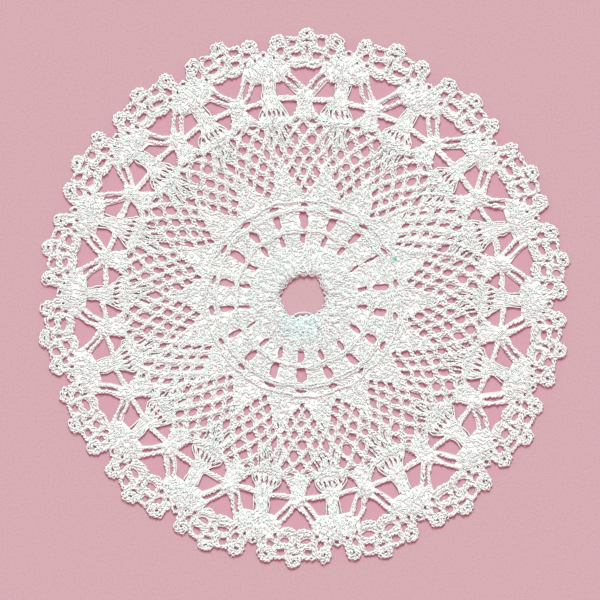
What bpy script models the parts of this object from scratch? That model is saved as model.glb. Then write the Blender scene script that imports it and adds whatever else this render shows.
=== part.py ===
"""Round lace doily: one strip of bobbin lace gathered into a ring, lying flat.

Sizes are millimetres and become metres where a point is placed. The underside is at z = 0, and
the middle of the doily's own box is at the origin. Angles run clockwise from +Y, seen from
above. The lace has 18 like repeats, each with a spider knot on its axis and half of a fan and
of a dense cluster on either side.
"""
import math
from collections import namedtuple

import bmesh
import bpy
import numpy as np

NAME = "lace_doily"
MM = 0.001

# Driving sizes
REPEATS = 18
REPEAT_DEG = 360.0 / REPEATS
HALF_DEG = REPEAT_DEG / 2
MEAN_TIP_RADIUS = 75.2
CLOTH_THICKNESS = 1.0
SUNK_HEIGHT = 0.5
SPIDER_RADIUS = 56.0

# The lace is gathered by hand, so its repeats don't stand quite evenly. One row a repeat,
# clockwise from +Y. The first five columns are degrees by which the repeat is turned at the
# five radii in TURN_RADII. tip is the scallop's reach and slot_width the width of the outer
# slot. A tight repeat has its inner slot and the foot of its net drawn shut.
Repeat = namedtuple("Repeat", "inner slot net spider loop tip slot_width tight")
TURN_RADII = (17.0, 22.0, 30.0, 56.0, 73.0)
REPEAT_ROWS = (
    Repeat(-0.6, 0.6, 0.6, 0.4, 0.8, 75.5, 2.3, False),
    Repeat(-0.1, 0.2, 1.0, 0.3, 0.6, 75.8, 2.0, False),
    Repeat(-1.1, 0.8, 0.4, 0.3, 1.1, 74.6, 1.8, False),
    Repeat(0.1, -0.3, 0.5, 0.1, 1.1, 74.9, 0.9, True),
    Repeat(0.8, 1.3, 1.3, 0.3, 1.7, 75.2, 1.9, False),
    Repeat(-0.1, 0.6, 1.9, 0.6, 1.7, 74.9, 2.2, False),
    Repeat(0.4, 0.9, 1.7, 0.9, 1.9, 75.2, 2.2, False),
    Repeat(1.7, 1.4, 1.4, 2.0, 2.2, 76.0, 1.9, False),
    Repeat(2.7, 1.7, 1.1, 2.0, 2.2, 76.3, 2.0, False),
    Repeat(2.6, 1.5, 1.0, 1.7, 2.0, 75.5, 2.6, False),
    Repeat(2.6, 1.9, 1.0, 1.5, 1.7, 76.0, 1.8, False),
    Repeat(2.6, 1.9, 2.0, 1.7, 1.1, 75.5, 1.8, False),
    Repeat(1.9, 1.9, 2.2, 1.5, 0.8, 74.9, 1.1, True),
    Repeat(2.0, 2.3, 1.3, 1.3, 1.1, 74.9, 1.7, False),
    Repeat(1.1, 1.6, 1.3, 1.3, 1.1, 74.4, 2.2, False),
    Repeat(1.1, 1.9, 0.8, 1.1, 1.1, 75.5, 2.1, False),
    Repeat(0.6, 1.6, 1.1, 0.9, 0.8, 74.9, 2.0, False),
    Repeat(-0.4, 0.9, 1.1, 0.8, 1.0, 75.2, 1.9, False),
)

# Radius of the gathered hole every 30 degrees, clockwise from +Y
HOLE_STEP_DEG = 30.0
HOLE_RADII = (6.3, 6.7, 6.0, 6.7, 6.2, 5.8, 5.0, 5.7, 6.4, 6.8, 5.7, 6.0)
HOLE_POINTS = 36

# Half of one scallop's edge, from its tip to the valley between two scallops: degrees from
# the axis and radius. The tip loop, a shoulder and the side loop follow each other.
SCALLOP_EDGE = (
    (0.0, 75.2),
    (1.2, 74.8),
    (2.0, 73.7),
    (2.6, 72.9),
    (3.5, 73.1),
    (4.5, 72.6),
    (5.2, 73.2),
    (6.5, 73.8),
    (7.5, 73.1),
    (8.3, 71.6),
    (8.8, 69.9),
    (HALF_DEG, 70.0),
)

# Corners of the gaps around a spider knot: distance beside the axis and radius
HEART_GAP_HALF = ((0.0, 65.0), (2.2, 63.9), (4.3, 64.4), (3.9, 63.1), (0.0, 58.6))
SIDE_GAP = ((2.9, 56.4), (5.0, 58.8), (6.4, 60.3), (9.1, 60.1), (7.3, 56.4))
LOWER_GAP = ((2.2, 54.7), (6.7, 54.6), (5.4, 52.6), (4.0, 51.1))

# Slots on the axis between the inner ring cords: inner and outer radius, and width as a share
# of the repeat's slot_width
INNER_SLOT = (14.8, 18.1, 0.65)
OUTER_SLOT = (19.6, 23.6, 1.0)
SLOT_TAPER = 0.75

# The diamond net, cut at twice the pitch of its fine mesh. Its gaps lie at steps of a quarter
# repeat beside the axis, each between the rows inside and outside its own.
NET_ROW_RADII = (28.1, 31.2, 35.6, 41.2, 45.4, 49.0, 52.1)
NET_STEP_DEG = REPEAT_DEG / 4
NET_GAPS = ((1, 0), (2, -1), (2, 1), (3, 0), (4, -1), (4, 1), (5, 0))
NET_FOOT_ROWS = (1, 2)
NET_GAP_SHARE = 0.58
EYE_RADIUS = 41.0
EYE_HALF_SIZE = (0.8, 2.6)

# Eyelets in the scallop, one on each side of its axis
EYELET_SIDE = 3.0
EYELET_RADIUS = 67.7
EYELET_HALF_SIZE = (1.4, 0.8)

# Raised forms: half width, half height along the radius, and top above the underside
KNOT_SIDES = 8
KNOT_CROWN_SHARE = 0.5
SPIDER_KNOT = (1.7, 1.9, 1.5)
CLUSTER_RADIUS = 64.6
CLUSTER_KNOT = (3.9, 3.2, 1.5)
RING_CORD_RADII = (18.85, 24.5, 27.3)
RING_CORD_SEGMENTS = 54
RING_CORD_HALF_WIDTH = 0.4
RING_CORD_RISE = 0.3

# Gathers around the hole. Each row is the share of the way from the hole's edge to
# GATHER_OUTER_RADIUS, the height there and how far a crease drops below a rib.
GATHER_RIBS = 36
GATHER_OUTER_RADIUS = 14.6
GATHER_ROWS = ((0.03, 1.5, 0.15), (0.13, 1.8, 0.35), (0.55, 1.6, 0.35), (1.0, 0.8, 0.0))

THREAD_COLOUR = (0.80, 0.79, 0.77, 1.0)
THREAD_ROUGHNESS = 0.9


def between_repeats(repeat, side_deg, read):
    """What read gives for a row, blended with the row of the neighbour on that side."""
    neighbour = repeat + (1 if side_deg > 0 else -1)
    share = abs(side_deg) / REPEAT_DEG
    own_value = read(REPEAT_ROWS[repeat % REPEATS])
    next_value = read(REPEAT_ROWS[neighbour % REPEATS])
    return own_value * (1 - share) + next_value * share


def bearing(repeat, side_deg, radius):
    """Angle in radians and uneven radius of a point beside a repeat's axis."""
    turn = between_repeats(repeat, side_deg, lambda row: np.interp(radius, TURN_RADII, row[:5]))
    tip = between_repeats(repeat, side_deg, lambda row: row.tip)
    reach = np.interp(radius, (SPIDER_RADIUS, MEAN_TIP_RADIUS), (0.0, tip - MEAN_TIP_RADIUS))
    return math.radians(repeat * REPEAT_DEG + side_deg + turn), radius + reach


def polar_point(angle, radius):
    """x and y of a point at an angle clockwise from +Y."""
    return radius * math.sin(angle), radius * math.cos(angle)


def repeat_point(repeat, side, radius):
    """x and y of a point at a distance beside a repeat's axis."""
    return polar_point(*bearing(repeat, math.degrees(side / radius), radius))


def hole_radius(angle_deg):
    """Radius of the uneven centre hole."""
    angles = [HOLE_STEP_DEG * index for index in range(len(HOLE_RADII) + 1)]
    return np.interp(angle_deg % 360.0, angles, HOLE_RADII + HOLE_RADII[:1])


def outer_edge():
    """The scalloped outline of the whole doily."""
    other_half = [(-side, radius) for side, radius in SCALLOP_EDGE[-2:0:-1]]
    scallop = other_half + list(SCALLOP_EDGE)
    return [polar_point(*bearing(repeat, *point)) for repeat in range(REPEATS) for point in scallop]


def centre_hole():
    """The uneven hole that the gathers leave."""
    angles = [360.0 * index / HOLE_POINTS for index in range(HOLE_POINTS)]
    return [polar_point(math.radians(angle), hole_radius(angle)) for angle in angles]


def mirrored(corners):
    """The same corners on the other side of the axis."""
    return [(-side, radius) for side, radius in corners]


def diamond(side, radius, half_width, half_height):
    """Corners of a small four-sided gap."""
    return [
        (side - half_width, radius),
        (side, radius + half_height),
        (side + half_width, radius),
        (side, radius - half_height),
    ]


def slot(width, inner_radius, outer_radius):
    """Corners of a slot along the axis, narrower at its inner end."""
    half_width = width / 2
    return [
        (-half_width * SLOT_TAPER, inner_radius),
        (-half_width, outer_radius),
        (half_width, outer_radius),
        (half_width * SLOT_TAPER, inner_radius),
    ]


def slot_gaps(row):
    """The slots between the ring cords."""
    gaps = []
    for inner_radius, outer_radius, share in (INNER_SLOT, OUTER_SLOT):
        if share == 1.0 or not row.tight:
            gaps.append(slot(row.slot_width * share, inner_radius, outer_radius))
    return gaps


def net_gaps(row):
    """The diamonds of the net, and the eye between this net and the next."""
    gaps = [diamond(math.radians(HALF_DEG) * EYE_RADIUS, EYE_RADIUS, *EYE_HALF_SIZE)]
    for net_row, step in NET_GAPS:
        if row.tight and net_row in NET_FOOT_ROWS:
            continue
        radius = NET_ROW_RADII[net_row]
        step_width = math.radians(NET_STEP_DEG) * radius
        half_height = (NET_ROW_RADII[net_row + 1] - NET_ROW_RADII[net_row - 1]) / 2
        size = (step_width * NET_GAP_SHARE, half_height * NET_GAP_SHARE)
        gaps.append(diamond(step * step_width, radius, *size))
    return gaps


def spider_gaps():
    """The heart-shaped gap over the spider knot and the two gaps on each side of it."""
    heart = HEART_GAP_HALF + tuple(mirrored(HEART_GAP_HALF[-2:0:-1]))
    return [heart, SIDE_GAP, mirrored(SIDE_GAP), LOWER_GAP, mirrored(LOWER_GAP)]


def eyelet_gaps():
    """The two eyelets of a scallop."""
    sides = (-EYELET_SIDE, EYELET_SIDE)
    return [diamond(side, EYELET_RADIUS, *EYELET_HALF_SIZE) for side in sides]


def all_gaps():
    """Outlines of every gap that is cut through the lace."""
    outlines = [centre_hole()]
    for repeat, row in enumerate(REPEAT_ROWS):
        for gap in slot_gaps(row) + net_gaps(row) + spider_gaps() + eyelet_gaps():
            outlines.append([repeat_point(repeat, *corner) for corner in gap])
    return outlines


def box_middle(points):
    """Middle of the box around some points."""
    low = np.min(points, axis=0)
    high = np.max(points, axis=0)
    return (low + high) / 2


def thread_material():
    """Plain unbleached white cotton."""
    material = bpy.data.materials.new("white_cotton_thread")
    material.use_nodes = True
    shader = material.node_tree.nodes["Principled BSDF"]
    shader.inputs["Base Color"].default_value = THREAD_COLOUR
    shader.inputs["Roughness"].default_value = THREAD_ROUGHNESS
    shader.inputs["Metallic"].default_value = 0.0
    return material


def flat_lace(collection, middle):
    """The lace as a flat outline with its gaps, made into a closed mesh."""
    curve = bpy.data.curves.new("lace_outline", "CURVE")
    curve.dimensions = "2D"
    curve.fill_mode = "BOTH"
    curve.extrude = CLOTH_THICKNESS / 2 * MM
    for outline in [outer_edge()] + all_gaps():
        spline = curve.splines.new("POLY")
        spline.points.add(len(outline) - 1)
        spline.use_cyclic_u = True
        for point, (x, y) in zip(spline.points, outline):
            point.co = ((x - middle[0]) * MM, (y - middle[1]) * MM, 0.0, 1.0)
    drawn = bpy.data.objects.new("lace_outline", curve)
    drawn.location.z = CLOTH_THICKNESS / 2 * MM
    collection.objects.link(drawn)
    bpy.context.view_layer.update()

    evaluated = drawn.evaluated_get(bpy.context.evaluated_depsgraph_get())
    mesh = bpy.data.meshes.new_from_object(evaluated)
    mesh.name = NAME
    sheet = bmesh.new()
    sheet.from_mesh(mesh)
    bmesh.ops.remove_doubles(sheet, verts=sheet.verts, dist=1e-6)
    bmesh.ops.recalc_face_normals(sheet, faces=sheet.faces)
    sheet.to_mesh(mesh)
    sheet.free()
    lace = bpy.data.objects.new(NAME, mesh)
    lace.matrix_world = drawn.matrix_world
    collection.objects.link(lace)
    bpy.data.objects.remove(drawn)
    return lace


def hide_form(form, forms):
    """Keep a raised form as a guide for the union only."""
    forms.objects.link(form)
    form.hide_render = True
    form.display_type = "WIRE"


def raised_knot(name, forms, middle, repeat, side_deg, radius, size):
    """A low crowned knot sunk halfway into the lace."""
    half_width, half_height, top = size
    knot = bmesh.new()
    bmesh.ops.create_cone(knot, cap_ends=True, segments=KNOT_SIDES, depth=1.0,
                          radius1=1.0, radius2=KNOT_CROWN_SHARE)
    mesh = bpy.data.meshes.new(name)
    knot.to_mesh(mesh)
    knot.free()
    form = bpy.data.objects.new(name, mesh)
    angle, reach = bearing(repeat, side_deg, radius)
    x, y = polar_point(angle, reach)
    height = top - SUNK_HEIGHT
    centre_height = SUNK_HEIGHT + height / 2
    form.location = ((x - middle[0]) * MM, (y - middle[1]) * MM, centre_height * MM)
    form.rotation_euler.z = -angle
    form.scale = (half_width * MM, half_height * MM, height * MM)
    hide_form(form, forms)


def ring_cord(index, radius, forms, middle):
    """A ring of cord that shows as a low ridge."""
    bpy.ops.mesh.primitive_torus_add(major_segments=RING_CORD_SEGMENTS, minor_segments=4,
                                     major_radius=radius * MM,
                                     minor_radius=RING_CORD_HALF_WIDTH * MM)
    form = bpy.context.object
    form.name = f"ring_cord_{index}"
    ridge_height = CLOTH_THICKNESS + RING_CORD_RISE - RING_CORD_HALF_WIDTH
    form.location = (-middle[0] * MM, -middle[1] * MM, ridge_height * MM)
    for collection in form.users_collection:
        collection.objects.unlink(form)
    hide_form(form, forms)


def gathered_centre(forms, middle):
    """Radial ribs and creases around the hole, with a rolled inner edge."""
    columns = 2 * GATHER_RIBS
    bands = len(GATHER_ROWS) - 1
    gathers = bmesh.new()
    bmesh.ops.create_grid(gathers, x_segments=columns, y_segments=bands, size=0.5)
    for vert in gathers.verts:
        column = round((vert.co.x + 0.5) * columns)
        share, height, crease = GATHER_ROWS[round((vert.co.y + 0.5) * bands)]
        angle_deg = 360.0 * column / columns
        inner_radius = hole_radius(angle_deg)
        radius = inner_radius + share * (GATHER_OUTER_RADIUS - inner_radius)
        x, y = polar_point(math.radians(angle_deg), radius)
        drop = crease * (column % 2)
        vert.co = ((x - middle[0]) * MM, (y - middle[1]) * MM, (height - drop) * MM)
    bmesh.ops.remove_doubles(gathers, verts=gathers.verts, dist=1e-6)
    lower = bmesh.ops.extrude_face_region(gathers, geom=gathers.faces[:])["geom"]
    for vert in lower:
        if isinstance(vert, bmesh.types.BMVert):
            vert.co.z = SUNK_HEIGHT * MM
    bmesh.ops.recalc_face_normals(gathers, faces=gathers.faces)
    mesh = bpy.data.meshes.new("gathered_centre")
    gathers.to_mesh(mesh)
    gathers.free()
    hide_form(bpy.data.objects.new("gathered_centre", mesh), forms)


def raise_forms(lace, forms, middle):
    """Join the knots, ring cords and gathers to the lace."""
    for repeat in range(REPEATS):
        raised_knot(f"spider_knot_{repeat}", forms, middle, repeat, 0.0, SPIDER_RADIUS, SPIDER_KNOT)
        raised_knot(f"cluster_knot_{repeat}", forms, middle, repeat, HALF_DEG, CLUSTER_RADIUS,
                    CLUSTER_KNOT)
    for index, radius in enumerate(RING_CORD_RADII):
        ring_cord(index, radius, forms, middle)
    gathered_centre(forms, middle)
    union = lace.modifiers.new("raised forms", "BOOLEAN")
    union.operation = "UNION"
    union.operand_type = "COLLECTION"
    union.collection = forms
    union.solver = "EXACT"


def main():
    for old in list(bpy.data.objects):
        bpy.data.objects.remove(old)
    collection = bpy.data.collections.new(NAME)
    forms = bpy.data.collections.new("raised_forms")
    for group in (collection, forms):
        bpy.context.scene.collection.children.link(group)
    middle = box_middle(outer_edge())
    lace = flat_lace(collection, middle)
    lace.data.materials.append(thread_material())
    raise_forms(lace, forms, middle)


main()
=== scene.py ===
"""Looks of the lace doily: a thin cloth web, cut through like the lace, under every thread of it.

Lengths are millimetres until a mesh is made. A pattern point is an angle in degrees, clockwise
from +Y, and a radius, as if the lace were gathered quite evenly. to_world() then turns each
repeat as far as it stands in the real doily. Beside a repeat's axis, side is a distance.
"""
import math
from collections import namedtuple

import bmesh
import bpy
import numpy as np
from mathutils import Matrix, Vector
from mathutils.geometry import delaunay_2d_cdt


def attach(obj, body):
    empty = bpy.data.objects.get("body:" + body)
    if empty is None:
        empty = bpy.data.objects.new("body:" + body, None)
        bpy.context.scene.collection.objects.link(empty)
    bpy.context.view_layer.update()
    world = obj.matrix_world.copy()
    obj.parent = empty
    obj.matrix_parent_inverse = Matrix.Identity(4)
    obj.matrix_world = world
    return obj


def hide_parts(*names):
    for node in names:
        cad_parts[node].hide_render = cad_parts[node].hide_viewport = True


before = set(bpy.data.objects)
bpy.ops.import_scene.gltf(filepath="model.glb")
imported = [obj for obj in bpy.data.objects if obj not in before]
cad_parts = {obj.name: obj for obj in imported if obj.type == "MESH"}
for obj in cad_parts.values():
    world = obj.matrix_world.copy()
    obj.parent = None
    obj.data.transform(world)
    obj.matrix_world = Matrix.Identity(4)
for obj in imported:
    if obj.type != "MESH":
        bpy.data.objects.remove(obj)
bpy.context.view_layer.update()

rng = np.random.default_rng(18)
MM = 0.001
# About a full turn in radians, for random phases
PHASES = 6.3

# Driving sizes, the same as the solid's
REPEATS = 18
REPEAT_DEG = 360.0 / REPEATS
HALF_DEG = REPEAT_DEG / 2
MEAN_TIP_RADIUS = 75.2
SPIDER_RADIUS = 56.0

# For each repeat, clockwise from +Y: its turn in degrees at each of the turn radii, the reach
# of its tip and the width of its slots
TURN_RADII = np.array((17.0, 22.0, 30.0, 56.0, 73.0))
TURNS = np.array((
    (-0.6, 0.6, 0.6, 0.4, 0.8), (-0.1, 0.2, 1.0, 0.3, 0.6), (-1.1, 0.8, 0.4, 0.3, 1.1),
    (0.1, -0.3, 0.5, 0.1, 1.1), (0.8, 1.3, 1.3, 0.3, 1.7), (-0.1, 0.6, 1.9, 0.6, 1.7),
    (0.4, 0.9, 1.7, 0.9, 1.9), (1.7, 1.4, 1.4, 2.0, 2.2), (2.7, 1.7, 1.1, 2.0, 2.2),
    (2.6, 1.5, 1.0, 1.7, 2.0), (2.6, 1.9, 1.0, 1.5, 1.7), (2.6, 1.9, 2.0, 1.7, 1.1),
    (1.9, 1.9, 2.2, 1.5, 0.8), (2.0, 2.3, 1.3, 1.3, 1.1), (1.1, 1.6, 1.3, 1.3, 1.1),
    (1.1, 1.9, 0.8, 1.1, 1.1), (0.6, 1.6, 1.1, 0.9, 0.8), (-0.4, 0.9, 1.1, 0.8, 1.0),
))
TIPS = np.array((
    75.5, 75.8, 74.6, 74.9, 75.2, 74.9, 75.2, 76.0, 76.3,
    75.5, 76.0, 75.5, 74.9, 74.9, 74.4, 75.5, 74.9, 75.2,
))
SLOT_WIDTHS = (
    2.3, 2.0, 1.8, 0.9, 1.9, 2.2, 2.2, 1.9, 2.0,
    2.6, 1.8, 1.8, 1.1, 1.7, 2.2, 2.1, 2.0, 1.9,
)

# Radii of the centre hole, one for each step clockwise from +Y
HOLE_STEP_DEG = 30.0
HOLE_RADII = (5.9, 6.7, 6.2, 5.9, 5.8, 5.4, 4.9, 6.0, 6.1, 6.75, 6.1, 6.3)

# Half of one scallop's edge: degrees from the axis and radius
SCALLOP_EDGE = (
    (0.0, 75.2), (1.2, 74.8), (2.0, 73.7), (2.6, 72.9), (3.5, 73.1), (4.5, 72.6),
    (5.2, 73.2), (6.5, 73.8), (7.5, 73.1), (8.3, 71.6), (8.8, 69.9), (HALF_DEG, 70.0),
)

# The web: its faces, how far its gaps are wider than the lace's, and the pad under dense cloth
WEB_BOTTOM = 0.02
WEB_TOP = 0.4
WEB_SHRINK = 0.27
WEB_GRID = 1.0
WEB_EDGE_INSET = 0.85
PAD_DEPTH = 0.09

# Threads: how thick one is, how evenly, and how far apart its points stand
THREAD_RADIUS = 0.22
THREAD_EVENNESS = (0.8, 1.2)
CORD_STEP = 0.36
FAN_STEP = 0.46
CURL_STEP = 0.42

# Cords of threads twisted into knobs, and how far they stray from an even twist
CORD_THREADS = 2
CORD_HEIGHT = 0.62
CORD_FLATNESS = 0.55
BEAD_SWELL = 0.5
BEAD_SLIP = 0.5
TWIST_SLIP = 1.2
SPREAD_SLIP = 0.25
THREAD_SHAKE = 0.07
PATH_SHAKE = 0.1
RING_SHAKE = 0.06

# The photo's scale, and the doily's own middle in it
PHOTO_PIXELS = 600
MM_PER_PIXEL = 0.2785
DOILY_MIDDLE_PIXEL = (303.5, 298.0)


def between_repeats(values, angle):
    """What pattern angles get of a table with one entry for each repeat."""
    position = angle / REPEAT_DEG
    low = np.floor(position).astype(int)
    share = (position - low).reshape(low.shape + (1,) * (values.ndim - 1))
    return values[low % REPEATS] * (1 - share) + values[(low + 1) % REPEATS] * share


def turn_at(angle, radius):
    """Degrees by which the lace is turned at pattern points."""
    turns = between_repeats(TURNS, angle)
    column = np.clip(np.searchsorted(TURN_RADII, radius) - 1, 0, len(TURN_RADII) - 2)
    start = TURN_RADII[column]
    along = np.clip((radius - start) / (TURN_RADII[column + 1] - start), 0.0, 1.0)
    inner_turn = np.take_along_axis(turns, column[..., None], -1)[..., 0]
    outer_turn = np.take_along_axis(turns, column[..., None] + 1, -1)[..., 0]
    return inner_turn * (1 - along) + outer_turn * along


def reach_shift(angle, radius):
    """How far a repeat's own reach moves pattern points outwards."""
    share = np.clip((radius - SPIDER_RADIUS) / (MEAN_TIP_RADIUS - SPIDER_RADIUS), 0.0, 1.0)
    return share * (between_repeats(TIPS, angle) - MEAN_TIP_RADIUS)


def natural_point(angle, radius):
    """x and y about the doily's own middle."""
    angle = np.asarray(angle, float)
    radius = np.broadcast_to(np.asarray(radius, float), angle.shape)
    reach = radius + reach_shift(angle, radius)
    true_angle = np.radians(angle + turn_at(angle, radius))
    return np.stack((reach * np.sin(true_angle), reach * np.cos(true_angle)), axis=-1)


def on_side(sign, points):
    """The same points, or with a sign of -1 their mirror images beyond the axis."""
    return [(sign * side, radius) for side, radius in points]


def edge_pattern():
    """The scalloped outline as pattern points."""
    scallop = on_side(-1, SCALLOP_EDGE[-2:0:-1]) + list(SCALLOP_EDGE)
    return np.array([(REPEAT_DEG * k + side, r) for k in range(REPEATS) for side, r in scallop])


EDGE = edge_pattern()
EDGE_XY = natural_point(EDGE[:, 0], EDGE[:, 1])
MIDDLE = (EDGE_XY.min(axis=0) + EDGE_XY.max(axis=0)) / 2

# Waves that pull the threads a little out of true: x and y rate, phase, x and y shift
WANDER_COUNT = 10
WANDER_RATE = 1.2
WANDER_SHIFT = 0.12
WANDER_WAVES = [
    (*rng.uniform(-WANDER_RATE, WANDER_RATE, 2), rng.uniform(0, PHASES),
     *rng.uniform(-WANDER_SHIFT, WANDER_SHIFT, 2))
    for _ in range(WANDER_COUNT)
]


def to_world(angle, radius):
    """x and y of pattern points as the lace really lies."""
    xy = natural_point(angle, radius) - MIDDLE
    shift = np.zeros_like(xy)
    for x_rate, y_rate, phase, x_shift, y_shift in WANDER_WAVES:
        wave = np.sin(xy[..., 0] * x_rate + xy[..., 1] * y_rate + phase)
        shift += wave[..., None] * np.array((x_shift, y_shift))
    return xy + shift


def to_pattern(xy):
    """Pattern angle and radius of points of the world, near enough to look up a height."""
    x, y = (xy + MIDDLE).T
    true_angle = np.degrees(np.arctan2(x, y))
    reach = np.hypot(x, y)
    angle = true_angle
    radius = reach
    for _ in range(4):
        radius = reach - reach_shift(angle, radius)
        angle = true_angle - turn_at(angle, radius)
    return angle, radius


def pixel_place(pixel):
    """World x and y, in metres, of a pixel of the photo."""
    x = (pixel[0] - DOILY_MIDDLE_PIXEL[0]) * MM_PER_PIXEL - MIDDLE[0]
    y = (DOILY_MIDDLE_PIXEL[1] - pixel[1]) * MM_PER_PIXEL - MIDDLE[1]
    return x * MM, y * MM


def hole_radius(angle):
    """Radius of the uneven centre hole."""
    angles = HOLE_STEP_DEG * np.arange(len(HOLE_RADII) + 1)
    return np.interp(np.asarray(angle) % 360.0, angles, HOLE_RADII + HOLE_RADII[:1])


# The net's crossings: eight columns to a repeat, and rows at these radii. Some rows spread their
# middle columns, which draws the cloth between two nets together.
NET_COLUMNS = 8
NET_STEP_DEG = REPEAT_DEG / NET_COLUMNS
NET_ROWS = np.array((28.3, 30.1, 32.4, 35.2, 38.2, 41.0, 44.3, 47.2, 49.5, 51.6, 53.6))
NET_SPREAD = np.array((1.0, 1.0, 1.18, 1.13, 1.03, 1.06, 1.19, 1.14, 1.09, 1.0, 1.0))
NET_LEAN_RADII = (30.0, 36.0, 47.0, 53.0)
NET_LEAN_DEG = (0.0, -0.45, -0.45, 0.0)

# Gaps of the net: row, column, half width and half height
NET_GAPS = (
    (1, 0, 0.70, 1.05),
    (2, -1, 0.70, 1.10), (2, 1, 0.70, 1.10),
    (3, -2, 0.65, 1.25), (3, 0, 0.50, 0.70), (3, 2, 0.65, 1.25),
    (4, -3, 0.35, 0.60), (4, -1, 0.68, 0.85), (4, 1, 0.68, 0.85), (4, 3, 0.35, 0.60),
    (5, -2, 0.55, 0.90), (5, 0, 0.85, 1.05), (5, 2, 0.55, 0.90),
    (6, -1, 0.90, 1.20), (6, 1, 0.90, 1.20),
    (7, -2, 1.00, 1.30), (7, 0, 0.95, 1.25), (7, 2, 1.00, 1.30),
    (8, -1, 0.65, 0.50), (8, 1, 0.65, 0.50),
)
# Repeats whose net is pulled together, with the share by which their gaps are narrower
PULLED_TOGETHER = {2: 0.2, 3: 0.55, 4: 0.2, 11: 0.25, 12: 0.5, 13: 0.15}
PULLED_SLANT = 0.5
NEARLY_SHUT = 0.4

# Gaps with corners of their own, on both sides of the axis: side and radius
HEART_GAP_HALF = (
    (0.0, 65.2), (1.1, 64.4), (2.3, 63.9), (4.3, 64.4), (3.5, 62.6), (1.7, 60.3), (0.0, 58.6),
)
SIDE_GAP = ((2.8, 56.4), (5.0, 58.8), (6.4, 60.5), (9.2, 60.4), (8.3, 57.8), (7.7, 56.3))
LOWER_GAP = ((2.2, 54.8), (7.1, 54.8), (5.7, 52.7), (4.2, 50.9), (2.9, 52.4))
LEG_SLIT = ((2.0, 58.1), (3.2, 60.0), (4.6, 61.8), (5.6, 61.8), (4.8, 60.1), (2.9, 57.9))
FOOT_SLIT = ((5.35, 43.3), (5.8, 44.4), (6.7, 46.8), (7.15, 46.9), (6.5, 44.9), (5.8, 43.3))

# Slots between the ring cords: inner and outer radius, and share of the repeat's slot width
INNER_SLOT = (14.8, 18.1, 0.55)
OUTER_SLOT = (19.6, 23.6, 1.0)
SLOT_TAPER = 0.75
SLOT_LEAN = 0.25
SLOT_CORNERS = 6

# Small gaps: side, radius, half width and half height. Those of the fan are measured from the
# fan's axis.
PAIRED_EYELETS = (
    (3.0, 67.65, 1.25, 0.62), (3.9, 70.85, 0.98, 0.85), (7.1, 69.0, 0.72, 1.05),
    (6.05, 66.5, 0.32, 0.45), (8.5, 71.5, 0.45, 0.35), (9.0, 67.2, 0.25, 0.3),
)
AXIS_EYELETS = (
    (-0.1, 68.8, 0.3, 0.6), (0.1, 71.1, 0.8, 0.42), (-0.1, 73.2, 0.5, 0.25), (0.0, 25.9, 1.25, 0.42),
)
FAN_EYELETS = (
    (0.0, 41.4, 0.75, 2.2), (0.1, 37.2, 0.2, 1.7), (0.2, 45.6, 0.3, 1.3),
    (-1.4, 52.2, 0.17, 1.0), (0.0, 52.0, 0.17, 1.1), (1.4, 52.2, 0.17, 1.0),
    (-2.8, 52.2, 0.17, 0.85), (2.8, 52.2, 0.17, 0.85), (0.0, 68.3, 0.4, 0.42),
)


def beside(repeat, side, radius):
    """Pattern points at a distance beside a repeat's axis."""
    side = np.asarray(side, float)
    radius = np.asarray(radius, float)
    return np.stack((REPEAT_DEG * repeat + np.degrees(side / radius), radius), axis=-1)


def net_points(column, row):
    """Pattern points of the net, counted in columns from repeat 0 and in rows."""
    column = np.asarray(column, float)
    radius = np.interp(row, np.arange(len(NET_ROWS)), NET_ROWS)
    spread = np.interp(row, np.arange(len(NET_ROWS)), NET_SPREAD)
    local = (column + NET_COLUMNS / 2) % NET_COLUMNS - NET_COLUMNS / 2
    size = np.abs(local)
    squeezed = 2 * spread + (size - 2) * (2 - spread)
    spread_local = np.sign(local) * np.where(size <= 2, size * spread, squeezed)
    lean = np.interp(radius, NET_LEAN_RADII, NET_LEAN_DEG)
    return np.stack(((column - local + spread_local) * NET_STEP_DEG + lean, radius), axis=-1)


def rounded(side, radius, half_width, half_height, corners=8):
    """A small rounded gap."""
    turns = 2 * math.pi * np.arange(corners) / corners
    return np.column_stack((side + half_width * np.cos(turns), radius + half_height * np.sin(turns)))


def eyelet(side, radius, half_width, half_height, least=0.8, most=1.2):
    """A small gap of about this size."""
    half_width *= rng.uniform(least, most)
    half_height *= rng.uniform(least, most)
    return rounded(side, radius, half_width, half_height)


def slot_gaps(width):
    """The slots between the ring cords, with ragged edges."""
    gaps = []
    for inner_radius, outer_radius, share in (INNER_SLOT, OUTER_SLOT):
        half = width * share / 2 * rng.uniform(0.85, 1.1)
        lean = rng.uniform(-SLOT_LEAN, SLOT_LEAN)
        start = inner_radius + rng.uniform(-0.2, 0.5)
        end = outer_radius + rng.uniform(-0.3, 0.1)
        radii = np.linspace(start, end, SLOT_CORNERS)
        taper = np.linspace(SLOT_TAPER, 1.0, SLOT_CORNERS)
        widths = half * taper * rng.uniform(0.75, 1.1, (2, SLOT_CORNERS))
        widths[:, 0] *= 0.5
        widths[:, -1] *= 0.7
        middle = lean * np.linspace(-1, 1, SLOT_CORNERS)
        right = np.column_stack((middle + widths[0], radii))
        left = np.column_stack((middle - widths[1], radii))
        gaps.append(np.concatenate((right, left[::-1])))
    return gaps


def net_gaps(repeat):
    """Gaps between the bars of the net, as pattern points."""
    gaps = []
    open_share = 1 - PULLED_TOGETHER.get(repeat, 0.0)
    for net_row, column, half_width, half_height in NET_GAPS:
        share = rng.uniform(0.92, 1.2) * open_share
        angle, radius = net_points(NET_COLUMNS * repeat + column, net_row)
        gap = rounded(0.0, radius, half_width * share, half_height * rng.uniform(0.92, 1.15))
        gap[:, 0] += PULLED_SLANT * (1 - open_share) * (gap[:, 1] - radius)
        gaps.append(np.column_stack((angle + np.degrees(gap[:, 0] / gap[:, 1]), gap[:, 1])))
    return gaps


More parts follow.
